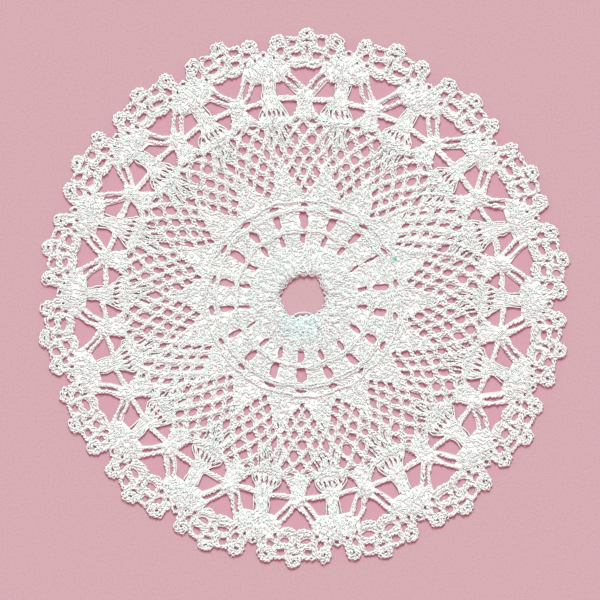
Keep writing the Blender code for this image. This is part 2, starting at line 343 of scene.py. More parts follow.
def shaped_gaps():
    """The gaps around the spider knot and beside the fan's foot."""
    heart = list(HEART_GAP_HALF) + on_side(-1, HEART_GAP_HALF[-2:0:-1])
    pairs = (SIDE_GAP, LOWER_GAP, LEG_SLIT, FOOT_SLIT)
    return [heart] + list(pairs) + [on_side(-1, gap) for gap in pairs]


def small_gaps():
    """Eyelets of the scallop, of the fans and of the tiny loop between two scallops."""
    gaps = [eyelet(*row) for row in AXIS_EYELETS]
    for side, *others in PAIRED_EYELETS:
        gaps += [eyelet(side, *others), eyelet(-side, *others)]
    for side, radius, *size in FAN_EYELETS:
        gaps.append(eyelet(math.radians(HALF_DEG) * radius + side, radius, *size, 0.9, 1.1))
    return gaps


def all_gaps():
    """Every gap but the centre hole, as pattern points."""
    outlines = []
    for repeat, slot_width in enumerate(SLOT_WIDTHS):
        outlines += net_gaps(repeat)
        for gap in slot_gaps(slot_width) + shaped_gaps() + small_gaps():
            corners = np.array(gap)
            outlines.append(beside(repeat, corners[:, 0], corners[:, 1]))
    return outlines


GAPS = all_gaps()

# A map of where there is cloth, looked up by pattern angle and radius, and kept off the edges
MAP_ANGLE_STEP = 0.1
MAP_RADIUS_STEP = 0.12
MAP_RADII = 640
MAP_MARGIN = 0.3


def inside(points_x, points_y, corners):
    """Whether points lie inside a polygon."""
    result = np.zeros(points_x.shape, bool)
    for (x0, y0), (x1, y1) in zip(corners, np.roll(corners, -1, axis=0)):
        if y0 == y1:
            continue
        crosses = (points_y < y0) != (points_y < y1)
        result ^= crosses & (points_x < x0 + (points_y - y0) / (y1 - y0) * (x1 - x0))
    return result


def cloth_map():
    """True where there is cloth, in rows of angle and columns of radius."""
    angles = np.arange(0, 360, MAP_ANGLE_STEP)
    radii = np.arange(MAP_RADII) * MAP_RADIUS_STEP
    order = np.argsort(EDGE[:, 0] % 360.0, kind="stable")
    reach = np.interp(angles, EDGE[order, 0] % 360.0, EDGE[order, 1], period=360.0)
    cloth = radii[None, :] < reach[:, None] - MAP_MARGIN
    cloth &= radii[None, :] > hole_radius(angles)[:, None] + MAP_MARGIN
    for gap in GAPS:
        low = np.floor(gap.min(axis=0) / (MAP_ANGLE_STEP, MAP_RADIUS_STEP)).astype(int)
        high = np.ceil(gap.max(axis=0) / (MAP_ANGLE_STEP, MAP_RADIUS_STEP)).astype(int)
        rows = np.arange(low[0], high[0] + 1)
        columns = np.arange(low[1], high[1] + 1)
        cut = inside((rows * MAP_ANGLE_STEP)[:, None] + 0 * columns,
                     (columns * MAP_RADIUS_STEP)[None, :] + 0 * rows[:, None], gap)
        cloth[np.ix_(rows % len(angles), columns)] &= ~cut
    return cloth


CLOTH = cloth_map()


def is_cloth(angle, radius):
    """Look pattern points up in the map of cloth."""
    row = np.rint(angle / MAP_ANGLE_STEP).astype(int) % len(CLOTH)
    column = np.clip(np.rint(radius / MAP_RADIUS_STEP).astype(int), 0, MAP_RADII - 1)
    return CLOTH[row, column]


def mesh_of(form, name):
    """A mesh of a closed form, which is used up."""
    bmesh.ops.recalc_face_normals(form, faces=form.faces)
    mesh = bpy.data.meshes.new(name)
    form.to_mesh(mesh)
    form.free()
    return mesh


def linked(data):
    """A new object in the scene, named after its mesh, light or camera."""
    obj = bpy.data.objects.new(data.name, data)
    bpy.context.scene.collection.objects.link(obj)
    return obj


def placed(mesh, material):
    """The object of a finished mesh."""
    mesh.materials.append(material)
    return linked(mesh)


def unit(vectors):
    """The same vectors, each of length 1."""
    return vectors / (np.linalg.norm(vectors, axis=-1, keepdims=True) + 1e-9)


class Strands:
    """Threads that become one mesh of closed tubes."""

    def __init__(self, name, sides=4):
        self.name = name
        self.sides = sides
        self.rings = []
        self.ply = []
        self.lengths = []

    def add(self, paths, radius, swell=1.0):
        """Threads of one length: an array of threads, points, and x, y and z.

        swell makes each point of the thread that much thicker.
        """
        threads, count = paths.shape[:2]
        if count < 3 or threads == 0:
            return
        paths[..., 2] = np.maximum(paths[..., 2], WEB_BOTTOM + radius)
        tangent = unit(np.gradient(paths, axis=1))
        flat = np.zeros((threads, count))
        side = unit(np.stack((tangent[..., 1], -tangent[..., 0], flat), axis=-1))
        up = np.cross(side, tangent)
        turns = 2 * math.pi * np.arange(self.sides) / self.sides + math.pi / 2
        thickness = radius * rng.uniform(*THREAD_EVENNESS, (threads, count)) * swell
        thickness[:, [0, -1]] *= 0.5
        thickness = thickness[..., None, None]
        around = np.cos(turns)[:, None] * side[..., None, :] + np.sin(turns)[:, None] * up[..., None, :]
        rings = paths[..., None, :] + thickness * around
        rings[..., 2] = np.maximum(rings[..., 2], WEB_BOTTOM)
        self.rings.append(rings.reshape(-1, 3))
        along = np.repeat(np.tile(np.arange(count) * CORD_STEP, threads), self.sides)
        wrapped = np.tile(turns, threads * count)
        self.ply.append(np.stack((np.cos(wrapped), np.sin(wrapped), along), axis=1))
        self.lengths += [count] * threads

    def build(self, material):
        """The mesh object of all the threads."""
        sides = self.sides
        lengths = np.array(self.lengths)
        starts = np.concatenate(([0], np.cumsum(lengths * sides)))
        ends = starts[1:]
        starts = starts[:-1]
        index = np.arange(ends[-1])
        last_rings = np.concatenate([np.arange(end - sides, end) for end in ends])
        ring = np.delete(index, last_rings)
        following = np.where(ring % sides == sides - 1, ring - sides + 1, ring + 1)
        quads = np.stack((ring, ring + sides, following + sides, following), axis=1)
        first_caps = starts[:, None] + np.arange(sides)
        last_caps = (ends - sides)[:, None] + np.arange(sides)[::-1]
        caps = np.concatenate((first_caps, last_caps))
        loops = np.concatenate((quads.ravel(), caps.ravel()))
        loop_starts = np.concatenate((np.arange(len(quads)) * 4,
                                      len(quads) * 4 + np.arange(len(caps)) * sides))
        mesh = bpy.data.meshes.new(self.name)
        mesh.vertices.add(len(index))
        mesh.vertices.foreach_set("co", (np.concatenate(self.rings) * MM).ravel())
        mesh.loops.add(len(loops))
        mesh.loops.foreach_set("vertex_index", loops)
        mesh.polygons.add(len(loop_starts))
        mesh.polygons.foreach_set("loop_start", loop_starts)
        mesh.update(calc_edges=True)
        mesh.shade_smooth()
        attribute = mesh.attributes.new("ply", "FLOAT_VECTOR", "POINT")
        attribute.data.foreach_set("vector", np.concatenate(self.ply).ravel())
        return placed(mesh, material)


# Parts of a curve between two of the points that it goes through, before it is cut into steps
CURVE_PARTS = 8


def smooth_path(points, step=CORD_STEP):
    """A curve through a few points, with a point every step."""
    points = np.asarray(points, float)
    ends = np.concatenate((2 * points[:1] - points[1:2], points, 2 * points[-1:] - points[-2:-1]))
    share = np.linspace(0, 1, CURVE_PARTS, endpoint=False)[:, None]
    pieces = []
    for a, b, c, d in zip(ends, ends[1:], ends[2:], ends[3:]):
        pieces.append(0.5 * (2 * b + (c - a) * share + (2 * a - 5 * b + 4 * c - d) * share ** 2
                             + (3 * b - a - 3 * c + d) * share ** 3))
    curve = np.concatenate(pieces + [points[-1:]])
    distance = np.concatenate(([0], np.cumsum(np.linalg.norm(np.diff(curve, axis=0), axis=1))))
    count = max(4, int(round(distance[-1] / step)) + 1)
    stops = np.linspace(0, distance[-1], count)
    return np.stack([np.interp(stops, distance, column) for column in curve.T], axis=1)


def lay(repeat, points, step=CORD_STEP):
    """World path, without height, of a curve given beside a repeat's axis."""
    curve = smooth_path(points, step)
    pattern = beside(repeat, curve[:, 0], curve[:, 1])
    return to_world(pattern[:, 0], pattern[:, 1])


def frame_of(path):
    """Sideways unit vectors of a flat path."""
    tangent = unit(np.gradient(path, axis=0))
    return np.stack((tangent[:, 1], -tangent[:, 0]), axis=1)


def unevenness(count, every, amount):
    """Random waves along a path, with a new value every so many points."""
    stops = rng.normal(0, amount, int(count / every) + 3)
    return np.interp(np.arange(count) / every + rng.uniform(0, 1), np.arange(len(stops)), stops)


def cord(strands, path, height=CORD_HEIGHT, spread=0.32, radius=THREAD_RADIUS, pitch=2.2):
    """Threads twisted into knobs along a flat path."""
    count = len(path)
    side = frame_of(path)
    length = np.linalg.norm(path[1] - path[0]) * np.arange(count)
    start = rng.uniform(0, 2 * math.pi)
    twist = 2 * math.pi * length / pitch + start + unevenness(count, 4, TWIST_SLIP)
    loose = 1 + unevenness(count, 4, SPREAD_SLIP)
    laid = []
    for index in range(CORD_THREADS):
        phase = twist + 2 * math.pi * index / CORD_THREADS
        offset = spread * loose * np.cos(phase) + unevenness(count, 2, THREAD_SHAKE)
        lift = CORD_FLATNESS * spread * np.sin(phase) + unevenness(count, 2, THREAD_SHAKE)
        laid.append(np.column_stack((path + side * offset[:, None], height + lift)))
    beads = 1 + BEAD_SWELL * np.sin(2 * twist + unevenness(count, 3, BEAD_SLIP))
    strands.add(np.array(laid), radius, beads)


def single(strands, path, height=CORD_HEIGHT, radius=THREAD_RADIUS, waviness=0.1):
    """One thread with small waves."""
    count = len(path)
    side = frame_of(path)
    sway = unevenness(count, 3, waviness)
    lift = unevenness(count, 3, PATH_SHAKE)
    strands.add(np.column_stack((path + side * sway[:, None], height + lift))[None], radius)


# Lines of the net, up and to the right: column and row of the first crossing, and how many
# crossings on they end. The curve between crossings is drawn on the net laid out flat.
NET_LINES = ((0, 0, 9.4), (-1, 1, 8.3), (-2, 2, 5.7), (-3, 3, 5.3))
NET_LAYER = 0.06
NET_MIDDLE_RADIUS = 40.0


def net_cords(direction, name, material):
    """The net's twisted threads that run one way round."""
    strands = Strands(name)
    for repeat in range(REPEATS):
        for column, row, crossings in NET_LINES:
            steps = np.append(np.arange(int(crossings) + 1), crossings)
            pattern = net_points(NET_COLUMNS * repeat + direction * (column + steps), row + steps)
            pattern[:, 0] += np.degrees(rng.normal(0, PATH_SHAKE, len(steps)) / pattern[:, 1])
            flat = np.column_stack((np.radians(pattern[:, 0]) * NET_MIDDLE_RADIUS, pattern[:, 1]))
            curve = smooth_path(flat)
            path = to_world(np.degrees(curve[:, 0] / NET_MIDDLE_RADIUS), curve[:, 1])
            cord(strands, path, CORD_HEIGHT + NET_LAYER * direction, spread=0.38, radius=0.23)
    return strands.build(material)


# Cords of the right half of a fan, from the fan's own axis, at these radii
FAN_RADII = (49.0, 50.3, 51.8, 53.0, 54.6, 57.0, 60.6)
FAN_SIDES = (
    (0.6, 0.7, 0.8, 0.6, 0.4, 0.3, 0.3),
    (1.7, 2.0, 2.1, 1.8, 1.1, 0.85, 0.8),
    (2.8, 3.2, 3.3, 2.6, 1.75, 1.4, 1.3),
    (3.8, 4.3, 4.3, 3.5, 2.35, 1.95, 1.85),
)
LOWER_FAN_RADII = (42.6, 43.8, 45.2, 47.2, 49.0)
LOWER_FAN_SIDES = (
    (1.15, 0.85, 0.55, 0.45, 0.4),
    (1.9, 1.5, 1.15, 0.9, 1.0),
    (3.8, 3.35, 2.8, 2.2, 2.1),
    (4.7, 4.3, 3.7, 3.1, 3.0),
)
# The band across the feet of a fan, from the repeat's axis, and the shifts of its two cords
WAVE_BAND = ((0.8, 51.0), (2.4, 50.5), (4.2, 49.7), (6.4, 49.3), (8.8, 49.2))
WAVE_BAND_SHIFTS = (-0.4, 0.45)
WAVE_BAND_RISE = 0.15


def shaken(points, amount=PATH_SHAKE):
    """The same points, each a little out of place."""
    points = np.array(points, float)
    return points + rng.normal(0, amount, points.shape)


def fan_path(repeat, sign, sides, radii):
    """Path of one cord of a fan, to one side or the other of the fan's axis."""
    middle = math.radians(HALF_DEG) * np.array(radii)
    points = np.column_stack((middle + sign * np.array(sides), radii))
    return lay(repeat, shaken(points, RING_SHAKE), FAN_STEP)


def fans(material):
    """The fans between the spiders, and the band that runs across their feet."""
    strands = Strands("fan_cords", sides=3)
    for repeat in range(REPEATS):
        for sign in (-1, 1):
            for sides in FAN_SIDES:
                path = fan_path(repeat, sign, sides, FAN_RADII)
                single(strands, path, radius=0.25, waviness=0.13)
            for sides in LOWER_FAN_SIDES:
                path = fan_path(repeat, sign, sides, LOWER_FAN_RADII)
                cord(strands, path, spread=0.18, radius=0.19)
            for shift in WAVE_BAND_SHIFTS:
                band = np.array(on_side(sign, WAVE_BAND)) + (0, shift)
                cord(strands, lay(repeat, shaken(band)), height=CORD_HEIGHT + WAVE_BAND_RISE)
    return strands.build(material)


# Cords that meet in the spider knot, right half: side and radius
SPIDER_CORDS = (
    ((0.3, 57.3), (1.2, 58.7), (2.7, 60.6), (4.1, 62.4), (5.6, 64.0)),
    ((0.9, 56.8), (2.4, 57.4), (3.8, 58.9), (5.2, 60.6), (6.6, 62.3)),
    ((1.0, 55.7), (3.2, 55.6), (5.4, 55.7), (7.9, 56.0)),
    ((1.0, 55.1), (3.2, 55.2), (5.4, 55.2), (7.9, 55.4)),
    ((0.2, 56.3), (0.1, 54.2), (0.0, 52.4), (0.0, 50.4)),
    ((0.8, 56.2), (1.2, 54.3), (1.6, 52.6), (1.3, 50.2)),
    ((1.5, 55.0), (2.0, 53.4), (2.4, 52.0), (3.2, 50.8)),
)


def spiders(material):
    """The spider knots with their legs and stems."""
    strands = Strands("spider_cords")
    for repeat in range(REPEATS):
        for sign in (-1, 1):
            for line in SPIDER_CORDS:
                path = lay(repeat, shaken(on_side(sign, line)))
                cord(strands, path, spread=0.3, radius=0.26, pitch=2.0)
    return strands.build(material)


# Cords of the right half of a scallop: side and radius
SCALLOP_CORDS = (
    ((0.0, 65.6), (0.9, 64.9), (2.3, 64.6), (3.6, 64.8), (5.0, 65.5)),
    ((0.2, 66.4), (1.3, 65.9), (2.8, 65.7), (4.2, 66.0), (5.4, 66.7)),
    ((0.75, 66.4), (0.9, 67.6), (0.85, 68.8), (1.0, 70.2)),
    ((1.0, 68.6), (2.2, 68.9), (3.6, 68.75), (5.0, 68.3)),
    ((0.2, 69.9), (1.5, 69.9), (3.0, 69.5), (5.3, 69.5)),
    ((4.8, 66.6), (5.1, 67.8), (5.7, 69.2), (5.7, 70.6), (5.6, 71.9)),
    ((1.6, 70.0), (1.9, 71.0), (2.1, 72.0), (2.3, 73.0)),
    ((2.4, 72.2), (3.6, 72.35), (4.8, 72.3), (6.0, 72.3)),
    ((7.9, 66.2), (8.3, 67.4), (8.5, 68.6), (8.3, 70.0)),
    ((9.9, 67.2), (10.1, 68.4), (10.1, 69.6), (9.9, 70.6)),
    ((6.4, 67.4), (7.2, 67.3), (8.2, 67.6)),
)
AXIS_CORDS = (
    ((-1.7, 70.2), (-0.6, 70.4), (0.6, 70.4), (1.7, 70.2)),
    ((-1.9, 72.0), (-0.6, 72.1), (0.7, 72.1), (1.9, 72.0)),
)
SCALLOP_TWIST = {"spread": 0.36, "radius": 0.25}

# Rings: side, radius, half width and half height of the line that the threads follow
TOP_RINGS = ((0.0, 73.25, 1.9, 1.3), (0.0, 73.25, 1.0, 0.75))
SIDE_RINGS = ((8.35, 71.5, 1.75, 1.75), (8.35, 71.5, 0.95, 0.9))
RING_POINTS = 12
# The tiny loop between two scallops
PICOT_RADIUS = 68.4
PICOT_RING = (0.85, 0.95)
PICOT_SHAKE = 0.05


def ring_points(side, radius, half_width, half_height):
    """Points round a small oval."""
    turns = np.linspace(0, 2 * math.pi, RING_POINTS) + rng.uniform(0, PHASES)
    return np.column_stack((side + half_width * np.sin(turns), radius + half_height * np.cos(turns)))


def scallops(name, side_signs, material):
    """Looped edge of the doily, on the sides named. The right side has the cords of the axis."""
    strands = Strands(name)
    for repeat in range(REPEATS):
        for sign in side_signs:
            for line in SCALLOP_CORDS:
                cord(strands, lay(repeat, shaken(on_side(sign, line))), **SCALLOP_TWIST)
            for side, *others in SIDE_RINGS:
                points = ring_points(sign * side, *others)
                cord(strands, lay(repeat, shaken(points, RING_SHAKE)), **SCALLOP_TWIST)
        if 1 in side_signs:
            for line in AXIS_CORDS:
                cord(strands, lay(repeat, shaken(line)))
            for ring in TOP_RINGS:
                cord(strands, lay(repeat, shaken(ring_points(*ring), RING_SHAKE)))
            picot_side = math.radians(HALF_DEG) * PICOT_RADIUS
            points = ring_points(picot_side, PICOT_RADIUS, *PICOT_RING)
            cord(strands, lay(repeat, shaken(points, PICOT_SHAKE)), spread=0.2, radius=0.18)
    return strands.build(material)


# Cords right round the doily: radius and spread. They sway in two waves, at these rates.
RING_CORDS = ((18.7, 0.16), (19.15, 0.16), (24.2, 0.18), (24.8, 0.18), (27.2, 0.2))
RING_THREAD_RADIUS = 0.18
RING_HEIGHT = 0.97
RING_WAVE_RATES = (36, 13)
RING_WAVE = 0.1


def ring_cords(material):
    """Cords that run right round the doily inside the net."""
    strands = Strands("ring_cords", sides=3)
    for radius, spread in RING_CORDS:
        count = int(2 * math.pi * radius / CORD_STEP)
        angle = np.linspace(0, 360, count)
        wave = np.full(count, radius)
        for rate in RING_WAVE_RATES:
            wave += RING_WAVE * np.sin(np.radians(angle * rate))
        wave[1:-1] += unevenness(count - 2, 9, PATH_SHAKE)
        cord(strands, to_world(angle, wave), RING_HEIGHT, spread, RING_THREAD_RADIUS, pitch=1.8)
    return strands.build(material)


# Strewn threads: how they bend, and how far their points and layers stray
CURL_BEND = 0.5
CURL_SHAKE = 0.2
CURL_LAYER = 0.06
CURL_LIFT_SHAKE = 0.04


def curls(strands, per_mm2, low_radius, high_radius, zone, height, lean, lean_spread=0.6,
          radius=0.2, points=4, lift=0.1):
    """Short curled threads strewn over a ring, where there is cloth and zone says so.

    lean is their mean angle from the radius, in degrees, to one side or the other. Where it is
    None they turn about the radius itself. lean_spread is in radians.
    """
    area = math.pi * (high_radius ** 2 - low_radius ** 2)
    count = int(per_mm2 * area)
    middle_radius = np.sqrt(rng.uniform(low_radius ** 2, high_radius ** 2, count))
    middle_angle = rng.uniform(0, 360, count)
    heading = rng.normal(0, lean_spread, count)
    if lean is not None:
        heading = np.radians(lean) * rng.choice((-1, 1), count) + rng.normal(0, lean_spread, count)
    turning = rng.normal(0, CURL_BEND, (count, 1))
    steps = (np.arange(points) - (points - 1) / 2) * CURL_STEP
    direction = heading[:, None] + turning * steps + rng.normal(0, CURL_SHAKE, (count, points))
    across = np.cumsum(np.sin(direction), axis=1) * CURL_STEP
    outward = np.cumsum(np.cos(direction), axis=1) * CURL_STEP
    across -= across.mean(axis=1, keepdims=True)
    outward -= outward.mean(axis=1, keepdims=True)
    radii = middle_radius[:, None] + outward
    angles = middle_angle[:, None] + np.degrees(across / radii)
    keep = (is_cloth(angles, radii) & zone(angles, radii)).all(axis=1)
    radii, angles = radii[keep], angles[keep]
    arch = lift * np.sin(np.linspace(0, math.pi, points))
    layer = rng.uniform(-CURL_LAYER, CURL_LAYER, (len(radii), 1))
    z = height(angles, radii) + arch + layer + rng.normal(0, CURL_LIFT_SHAKE, radii.shape)
    strands.add(np.concatenate((to_world(angles, radii), z[..., None]), axis=-1), radius)


def level(height):
    """A height that is the same everywhere."""
    return lambda angle, radius: np.full(np.shape(radius), height)


def off_axis(angle):
    """Degrees from the nearest repeat's axis."""
    return np.abs((angle + HALF_DEG) % REPEAT_DEG - HALF_DEG)


def side_of(angle, radius):
    """Distance from the nearest repeat's axis."""
    return np.radians(off_axis(angle)) * radius


def from_fan(angle, radius):
    """Distance from the nearest fan's axis."""
    return np.radians(HALF_DEG) * radius - side_of(angle, radius)


# How far zones reach to each side of their axis: at these radii, this far
CLUSTER_REACH = ((59.6, 61.0, 63.0, 65.5, 67.0, 68.0), (2.4, 4.6, 6.6, 6.8, 5.4, 3.6))
SPIDER_REACH = ((49.8, 52.0, 54.6, 56.0, 57.4, 58.2), (1.6, 2.6, 1.8, 2.4, 2.0, 0.8))
FAN_REACH = ((43.5, 47.0, 49.5, 52.0, 55.0, 60.5), (2.0, 3.6, 5.4, 4.6, 2.8, 2.4))

# Heights of the knots: at their edge, and what they rise to their middle
SPIDER_KNOT = (0.8, 0.35)
SPIDER_KNOT_RADIUS = 2.4
CLUSTER_KNOT = (0.7, 0.4)
CLUSTER_MIDDLE_RADIUS = 64.2
CLUSTER_HALF_SIZE = (6.0, 4.0)


def everywhere(angle, radius):
    """All of a ring."""
    return np.ones(np.shape(radius), bool)


def below_net(angle, radius):
    """The dense cloth that rises between two nets."""
    column = off_axis(angle) / NET_STEP_DEG
    row = np.interp(radius, NET_ROWS, np.arange(len(NET_ROWS)))
    return (column > row - 0.5) | (radius < NET_ROWS[0] + 0.4)


def cluster_zone(angle, radius):
    """The dense knots at the heads of the fans."""
    return from_fan(angle, radius) < np.interp(radius, *CLUSTER_REACH)


def spider_zone(angle, radius):
    """The knot where a spider's legs meet, and its stem."""
    return side_of(angle, radius) < np.interp(radius, *SPIDER_REACH)


def fan_zone(angle, radius):
    """The fan from its foot to the dense knot."""
    return from_fan(angle, radius) < np.interp(radius, *FAN_REACH)


def spider_height(angle, radius):
    """Height of the spider knots."""
    distance = np.hypot(side_of(angle, radius), radius - SPIDER_RADIUS)
    edge, rise = SPIDER_KNOT
    return edge + rise * np.clip(1 - (distance / SPIDER_KNOT_RADIUS) ** 2, 0, 1)


def cluster_height(angle, radius):
    """Height of the dense knots, highest in their middle."""
    across = from_fan(angle, radius) / CLUSTER_HALF_SIZE[0]
    outward = (radius - CLUSTER_MIDDLE_RADIUS) / CLUSTER_HALF_SIZE[1]
    edge, rise = CLUSTER_KNOT
    return edge + rise * np.clip(1 - across ** 2 - outward ** 2, 0, 1)


def pulled_zone(angle, radius):
    """The nets that are pulled nearly shut."""
    repeat = np.rint(angle / REPEAT_DEG).astype(int) % REPEATS
    pulled = np.array([PULLED_TOGETHER.get(k, 0.0) for k in range(REPEATS)])
    return pulled[repeat] > NEARLY_SHUT


# Zones of dense cloth: piece, threads a square millimetre, inner and outer radius, zone, height
# and lean of the threads, which is None where they turn all ways
Dense = namedtuple("Dense", "name per_mm2 low high zone height lean")
DENSE_ZONES = (
    Dense("cluster_threads", 3.3, 59.4, 68.2, cluster_zone, cluster_height, None),
    Dense("cluster_threads", 3.1, 49.8, 58.4, spider_zone, spider_height, None),
    Dense("foot_threads", 2.6, 24.0, 33.0, below_net, level(0.66), 45),
    Dense("foot_threads", 2.6, 33.0, 43.0, below_net, level(0.66), 28),
    Dense("foot_threads", 2.0, 29.0, 50.0, pulled_zone, level(0.6), 25),
    Dense("fan_threads", 2.1, 48.6, 60.6, fan_zone, level(0.68), 14),
    Dense("block_threads", 3.4, 14.0, 24.4, everywhere, level(0.68), 65),
)
LOOSE_OVER_NET = Dense("loose_threads", 0.2, 29.0, 50.5, everywhere, level(0.8), 35)
LOOSE_OVER_EDGE = Dense("loose_threads", 0.35, 64.0, 75.6, everywhere, level(0.75), None)
LOOSE_RADIUS = 0.14


def dense_threads(material):
    """Short threads of the dense cloth, and a few loose ones over the net and the scallops."""
    made = {}
    for dense in DENSE_ZONES:
        strands = made.setdefault(dense.name, Strands(dense.name, sides=3))
        curls(strands, *dense[1:])
    loose = made.setdefault("loose_threads", Strands("loose_threads", sides=3))
    curls(loose, *LOOSE_OVER_NET[1:], lean_spread=0.4, radius=LOOSE_RADIUS, points=5)
    curls(loose, *LOOSE_OVER_EDGE[1:], lean_spread=3.2, radius=LOOSE_RADIUS)
    return [strands.build(material) for strands in made.values()]


def web_height(angle, radius):
    """Top of the web, which rises under the dense cloth."""
    top = np.full(radius.shape, WEB_TOP)
    for dense in DENSE_ZONES:
        inside_zone = (radius > dense.low) & (radius < dense.high) & dense.zone(angle, radius)
        top = np.where(inside_zone, np.maximum(top, dense.height(angle, radius) - PAD_DEPTH), top)
    return top


# The gathered centre: its rise and the depth of its folds at some radii, and the rate and share
# of each wave that makes up the folds
GATHER_OUTER_RADIUS = 15.2
GATHER_RISE = ((5.0, 6.5, 8.5, 12.0, GATHER_OUTER_RADIUS), (0.7, 1.1, 1.2, 0.95, 0.55))
FOLD_DEPTH = ((5.0, 8.0, GATHER_OUTER_RADIUS), (0.18, 0.2, 0.03))
FOLD_WAVES = ((23, 0.5), (37, 0.3), (58, 0.2))
FOLD_PHASES = rng.uniform(0, PHASES, len(FOLD_WAVES))
FOLD_SLANT = 0.15
GATHER_COLUMNS = 144
GATHER_BANDS = 8
GATHER_RIM_INSET = 0.4
GATHER_RIM_TOP = 0.35


def gather_height(angle, radius):
    """Top of the gathered centre, in folds that fade outwards."""
    folds = 0.0
    for (rate, share), phase in zip(FOLD_WAVES, FOLD_PHASES):
        folds = folds + share * np.sin(np.radians(angle) * rate + phase + FOLD_SLANT * radius)
    return np.interp(radius, *GATHER_RISE) + np.interp(radius, *FOLD_DEPTH) * folds


def gathered_web(material):
    """Closed ring of pleated cloth around the hole."""
    gathers = bmesh.new()
    bmesh.ops.create_grid(gathers, x_segments=GATHER_COLUMNS, y_segments=GATHER_BANDS, size=0.5)
    for vert in gathers.verts:
        angle = 360.0 * (vert.co.x + 0.5)
        share = vert.co.y + 0.5
        inner_radius = float(hole_radius(angle)) + GATHER_RIM_INSET
        radius = inner_radius + share * (GATHER_OUTER_RADIUS - inner_radius)
        x, y = to_world(angle, radius)
        on_rim = share < 0.01
        top = GATHER_RIM_TOP if on_rim else float(gather_height(angle, radius)) - PAD_DEPTH
        vert.co = (x * MM, y * MM, top * MM)
    bmesh.ops.remove_doubles(gathers, verts=gathers.verts, dist=1e-6)
    lower = bmesh.ops.extrude_face_region(gathers, geom=gathers.faces[:])["geom"]
    for vert in lower:
        if isinstance(vert, bmesh.types.BMVert):
            vert.co.z = WEB_BOTTOM * MM
    mesh = mesh_of(gathers, "gathered_centre")
    mesh.shade_smooth()
    return placed(mesh, material)


# Wavy threads along the hole's rim: distance from the hole's edge, waves round it and height
RIM_THREADS = ((-0.2, 19, 0.5), (0.0, 23, 0.75), (0.5, 29, 1.0))
RIM_POINTS = 185
RIM_WAVE = 0.6

# A slack thread across the bottom of the hole
SLACK_THREAD_PIXELS = ((291, 318), (296, 314), (303, 312.5), (310, 313), (315, 317))
CENTRE_CURLS = Dense("centre_threads", 3.6, 5.4, 14.8, everywhere, gather_height, 22)


def centre_threads(material):
    """Threads over the gathered centre and along the rim of its hole."""
    strands = Strands(CENTRE_CURLS.name, sides=3)
    curls(strands, *CENTRE_CURLS[1:], lean_spread=0.7, points=5, lift=0.17)
    angle = np.linspace(0, 360, RIM_POINTS)
    for offset, waves, height in RIM_THREADS:
        wave = np.abs(np.sin(np.radians(angle * waves / 2)))
        radius = hole_radius(angle) + offset + RIM_WAVE * wave
        single(strands, to_world(angle, radius), height=height, radius=0.2, waviness=0.06)
    slack = smooth_path([pixel_place(pixel) for pixel in SLACK_THREAD_PIXELS], CORD_STEP * MM) / MM
    single(strands, slack, height=0.8, radius=0.16, waviness=0.05)
    return strands.build(material)


# The web reaches this far under the gathered centre, and is cut round in steps of this many degrees
WEB_UNDERLAP = 1.6
WEB_INNER_STEP_DEG = 5.0


def web_points():
    """Points of the web inside the dense zones, where it isn't flat."""
    points = []
    for radius in np.arange(GATHER_OUTER_RADIUS, CLUSTER_REACH[0][-1], WEB_GRID):
        angles = np.arange(0, 360, np.degrees(WEB_GRID / radius)) + rng.uniform(0, 1)
        ring = np.full(len(angles), radius) + rng.uniform(-0.15, 0.15, len(angles))
        risen = is_cloth(angles, ring) & (web_height(angles, ring) > WEB_TOP)
        points.append(to_world(angles[risen], ring[risen]))
    return np.concatenate(points)


def flat_web(material):
    """The thin sheet of the lace, cut through by each of its gaps."""
    inset = EDGE - np.array((0.0, WEB_EDGE_INSET))
    inner = np.arange(0, 360, WEB_INNER_STEP_DEG)
    inner = np.column_stack((inner, np.full(len(inner), GATHER_OUTER_RADIUS - WEB_UNDERLAP)))
    outlines = [to_world(outline[:, 0], outline[:, 1]) for outline in [inset, inner] + GAPS]
    for outline in outlines[2:]:
        spread = outline - outline.mean(axis=0)
        outline += WEB_SHRINK * spread / np.linalg.norm(spread, axis=1, keepdims=True)
    corners = [Vector(point) for point in web_points()]
    edges = []
    for outline in outlines:
        first = len(corners)
        corners.extend(Vector(point) for point in outline)
        edges.extend((first + k, first + (k + 1) % len(outline)) for k in range(len(outline)))
    verts, _, faces, *_ = delaunay_2d_cdt(corners, edges, [], 0, 1e-4)
    verts = np.array([tuple(vert) for vert in verts])
    faces = np.array(faces)
    middles = verts[faces].mean(axis=1)
    keep = inside(middles[:, 0], middles[:, 1], outlines[0])
    for outline in outlines[1:]:
        near = np.all((middles > outline.min(axis=0)) & (middles < outline.max(axis=0)), axis=1)
        index = np.flatnonzero(near & keep)
        keep[index] = ~inside(middles[index, 0], middles[index, 1], outline)
    faces = faces[keep]
    used, renumbered = np.unique(faces, return_inverse=True)
    sheet = bmesh.new()
    bottom = [sheet.verts.new((x * MM, y * MM, WEB_BOTTOM * MM)) for x, y in verts[used]]
    for face in renumbered.reshape(-1, 3):
        sheet.faces.new([bottom[index] for index in face])
    area = sum(face.calc_area() for face in sheet.faces)
    upper = bmesh.ops.extrude_face_region(sheet, geom=sheet.faces[:], use_keep_orig=True)["geom"]
    top = [vert for vert in upper if isinstance(vert, bmesh.types.BMVert)]
    places = np.array([vert.co[:2] for vert in top]) / MM
    for vert, height in zip(top, web_height(*to_pattern(places))):
        vert.co.z = height * MM
    return placed(mesh_of(sheet, "lace_web"), material), area


